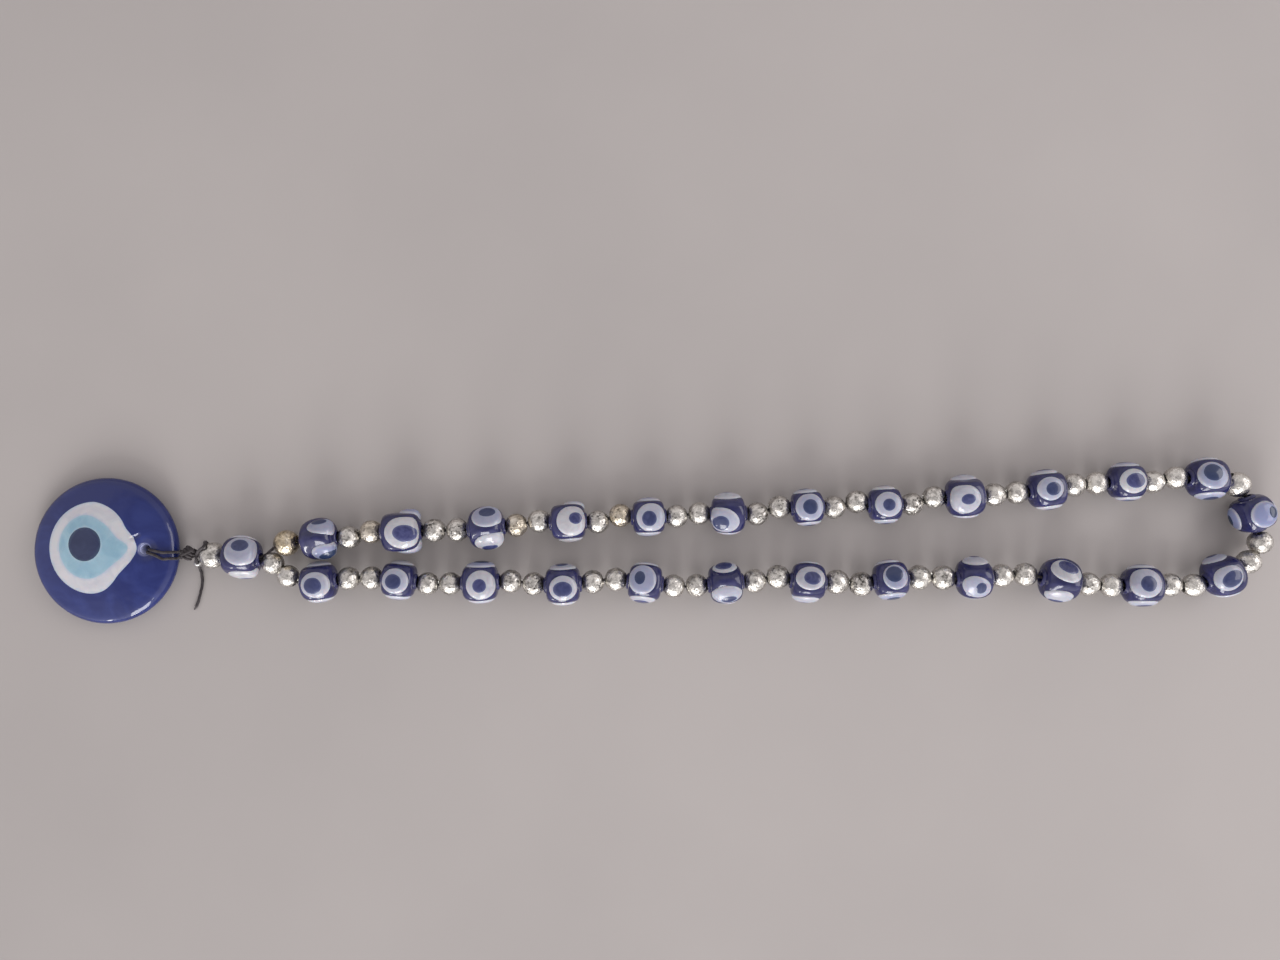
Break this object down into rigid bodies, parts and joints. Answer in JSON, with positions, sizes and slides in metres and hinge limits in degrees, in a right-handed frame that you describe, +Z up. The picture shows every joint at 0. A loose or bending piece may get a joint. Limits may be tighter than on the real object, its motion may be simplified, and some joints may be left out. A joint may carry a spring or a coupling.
{
  "type": "evil eye pendant",
  "caption": "Round glass eye disc tied to a closed loop of glass eye beads and small silver balls on a black thread, lying flat.",
  "frame": {"origin": "on the surface that the pendant lies on, under the middle of its bounding box", "axes": "+X from the glass disc to the far end of the loop, +Y across, towards the strand that starts with the turned bead, +Z up out of the disc's front"},
  "size_m": [0.2963, 0.0401, 0.0112],
  "materials": {
    "cobalt_glass": "polished opaque cobalt glass",
    "white_glass": "polished opaque white glass",
    "light_blue_glass": "polished opaque light blue glass",
    "dark_glass": "polished opaque dark blue glass",
    "bead_glass": "polished opaque dark blue glass with white eyes",
    "silver": "pitted and worn silver plate",
    "crimp_silver": "bright silver plate",
    "black_thread": "waxed black cord"
  },
  "bodies": {
    "root": {"glass_disc": "cobalt_glass", "eye_white": "white_glass", "eye_iris": "light_blue_glass", "eye_pupil": "dark_glass", "tie_loop": "black_thread", "knot": "black_thread", "eye_bead_01": "bead_glass", "eye_bead_02": "bead_glass", "eye_bead_03": "bead_glass", "eye_bead_04": "bead_glass", "eye_bead_05": "bead_glass", "eye_bead_06": "bead_glass", "eye_bead_07": "bead_glass", "eye_bead_08": "bead_glass", "eye_bead_09": "bead_glass", "eye_bead_10": "bead_glass", "eye_bead_11": "bead_glass", "eye_bead_12": "bead_glass", "eye_bead_13": "bead_glass", "eye_bead_14": "bead_glass", "eye_bead_15": "bead_glass", "eye_bead_16": "bead_glass", "eye_bead_17": "bead_glass", "eye_bead_18": "bead_glass", "eye_bead_19": "bead_glass", "eye_bead_20": "bead_glass", "eye_bead_21": "bead_glass", "eye_bead_22": "bead_glass", "eye_bead_23": "bead_glass", "eye_bead_24": "bead_glass", "eye_bead_25": "bead_glass", "eye_bead_26": "bead_glass", "silver_beads_upper": "silver", "silver_beads_lower": "silver", "thread": "black_thread", "thread_tail": "black_thread", "crimp": "crimp_silver"}
  },
  "joints": []
}
